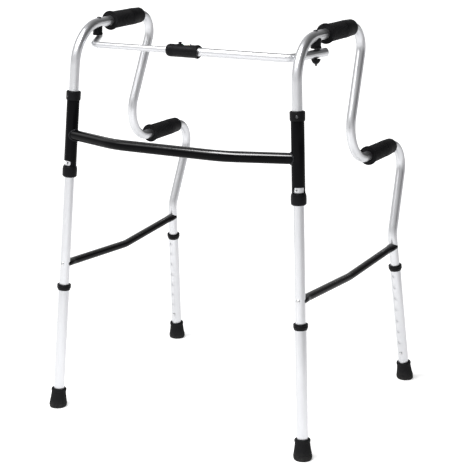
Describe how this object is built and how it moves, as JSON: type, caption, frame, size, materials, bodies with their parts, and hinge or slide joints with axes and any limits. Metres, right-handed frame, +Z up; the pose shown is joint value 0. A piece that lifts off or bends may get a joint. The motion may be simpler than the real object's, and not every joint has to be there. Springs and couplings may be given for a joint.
{
  "type": "walking frame",
  "caption": "Folding walking frame with telescopic legs, rubber feet, upper and lower hand grips, a bowed black cross bar and a telescopic brace that locks it open.",
  "frame": {"origin": "on the floor, in the middle of the box of the whole frame", "axes": "+Z up, +Y to the rear, where the user stands, -Y to the cross bar, +X to the frame's right as seen by somebody who faces the cross bar from the front"},
  "size_m": [0.617, 0.5462, 0.8023],
  "materials": {
    "aluminium_tube": "satin, lightly brushed along the tube",
    "black_paint": "glossy black paint",
    "black_plastic": "moulded, satin",
    "grip_rubber": "ribbed, matte",
    "foot_rubber": "moulded, matte",
    "steel": "plated",
    "nylon": "natural nylon"
  },
  "bodies": {
    "front_frame": {"cross_bar": "black_paint", "hinge_sleeve_left": "black_paint", "sleeve_cap_left": "black_plastic", "sleeve_bush_left": "black_plastic", "sleeve_cap_screw_left": "steel", "hinge_sleeve_right": "black_paint", "sleeve_cap_right": "black_plastic", "sleeve_bush_right": "black_plastic", "sleeve_cap_screw_right": "steel"},
    "left_side": {"side_tube_left": "aluminium_tube", "upper_grip_left": "grip_rubber", "lower_grip_left": "grip_rubber", "side_bar_left": "black_paint", "side_bar_screw_front_left": "steel", "side_bar_screw_rear_left": "steel", "fold_stop_pin_left": "steel", "brace_saddle_left": "black_plastic", "pivot_bolt_left": "steel"},
    "right_side": {"side_tube_right": "aluminium_tube", "upper_grip_right": "grip_rubber", "lower_grip_right": "grip_rubber", "side_bar_right": "black_paint", "side_bar_screw_front_right": "steel", "side_bar_screw_rear_right": "steel", "fold_stop_pin_right": "steel", "brace_saddle_right": "black_plastic"},
    "right_pivot": {"pivot_bolt_right": "steel", "pivot_nut_right": "black_plastic"},
    "outer_brace": {"brace_tube": "aluminium_tube", "lock_sleeve": "black_plastic"},
    "brace_lock": {"lock_button": "black_plastic"},
    "liner": {"slide_liner": "nylon"},
    "inner_brace": {"brace_rod": "aluminium_tube", "pivot_nut_left": "steel"},
    "front_left_leg": {"leg_extension_front_left": "aluminium_tube", "leg_collar_front_left": "black_plastic", "rubber_foot_front_left": "foot_rubber"},
    "front_left_snap": {"snap_button_front_left": "steel", "snap_spring_front_left": "steel"},
    "rear_left_leg": {"leg_extension_rear_left": "aluminium_tube", "leg_collar_rear_left": "black_plastic", "rubber_foot_rear_left": "foot_rubber"},
    "rear_left_snap": {"snap_button_rear_left": "steel", "snap_spring_rear_left": "steel"},
    "front_right_leg": {"leg_extension_front_right": "aluminium_tube", "leg_collar_front_right": "black_plastic", "rubber_foot_front_right": "foot_rubber"},
    "front_right_snap": {"snap_button_front_right": "steel", "snap_spring_front_right": "steel"},
    "rear_right_leg": {"leg_extension_rear_right": "aluminium_tube", "leg_collar_rear_right": "black_plastic", "rubber_foot_rear_right": "foot_rubber"},
    "rear_right_snap": {"snap_button_rear_right": "steel", "snap_spring_rear_right": "steel"}
  },
  "joints": [
    {"name": "left_fold", "type": "hinge", "parent": "front_frame", "child": "left_side", "pos_m": [-0.2819, -0.245, 0], "axis": [-0.0569, -0.051, -0.9971], "range_deg": [0, 86]},
    {"name": "right_fold", "type": "hinge", "parent": "front_frame", "child": "right_side", "pos_m": [0.2819, -0.245, 0], "axis": [-0.0569, 0.051, 0.9971], "range_deg": [0, 54]},
    {"name": "right_brace_pivot", "type": "hinge", "parent": "right_side", "child": "right_pivot", "pos_m": [0.2405, -0.1282, 0.7515], "axis": [-0.0572, 0.041, 0.9975], "range_deg": [-58.27, 0]},
    {"name": "left_brace_swing", "type": "hinge", "parent": "right_pivot", "child": "outer_brace", "pos_m": [0.2405, -0.1282, 0.7515], "axis": [0, -0.0127, 0.9999], "range_deg": [0, 10.08]},
    {"name": "brace_slide_right", "type": "slide", "parent": "outer_brace", "child": "liner", "axis": [1, 0, 0], "range_m": [0, 0.0629]},
    {"name": "brace_slide_left", "type": "slide", "parent": "liner", "child": "inner_brace", "axis": [1, 0, 0], "range_m": [0, 0.07343]},
    {"name": "brace_lock_press", "type": "slide", "parent": "outer_brace", "child": "brace_lock", "axis": [0, 0, -1], "range_m": [0, 0.0025], "stiffness_N_per_m": 600, "springref_m": -0.002},
    {"name": "front_left_height", "type": "slide", "parent": "left_side", "child": "front_left_leg", "axis": [-0.0569, -0.051, -0.9971], "range_m": [0, 0.156]},
    {"name": "front_left_snap_press", "type": "slide", "parent": "left_side", "child": "front_left_snap", "axis": [0.0015, -0.9987, 0.051], "range_m": [0, 0.0024], "stiffness_N_per_m": 800, "springref_m": -0.002},
    {"name": "rear_left_height", "type": "slide", "parent": "left_side", "child": "rear_left_leg", "axis": [-0.0598, 0.1482, -0.9871], "range_m": [0, 0.156]},
    {"name": "rear_left_snap_press", "type": "slide", "parent": "left_side", "child": "rear_left_snap", "axis": [0.0045, 0.9889, 0.1482], "range_m": [0, 0.0024], "stiffness_N_per_m": 800, "springref_m": -0.002},
    {"name": "front_right_height", "type": "slide", "parent": "right_side", "child": "front_right_leg", "axis": [0.0569, -0.051, -0.9971], "range_m": [0, 0.156]},
    {"name": "front_right_snap_press", "type": "slide", "parent": "right_side", "child": "front_right_snap", "axis": [-0.0015, -0.9987, 0.051], "range_m": [0, 0.0024], "stiffness_N_per_m": 800, "springref_m": -0.002},
    {"name": "rear_right_height", "type": "slide", "parent": "right_side", "child": "rear_right_leg", "axis": [0.0598, 0.1482, -0.9871], "range_m": [0, 0.156]},
    {"name": "rear_right_snap_press", "type": "slide", "parent": "right_side", "child": "rear_right_snap", "axis": [-0.0045, 0.9889, 0.1482], "range_m": [0, 0.0024], "stiffness_N_per_m": 800, "springref_m": -0.002}
  ],
  "couplings": [
    {"joint": "right_brace_pivot", "follows": "right_fold", "ratio": -1.0783},
    {"joint": "left_brace_swing", "follows": "left_fold", "ratio": 0.11702},
    {"joint": "brace_slide_right", "follows": "right_fold", "m_per_rad": 0.066635},
    {"joint": "brace_slide_left", "follows": "left_fold", "m_per_rad": 0.048852}
  ]
}
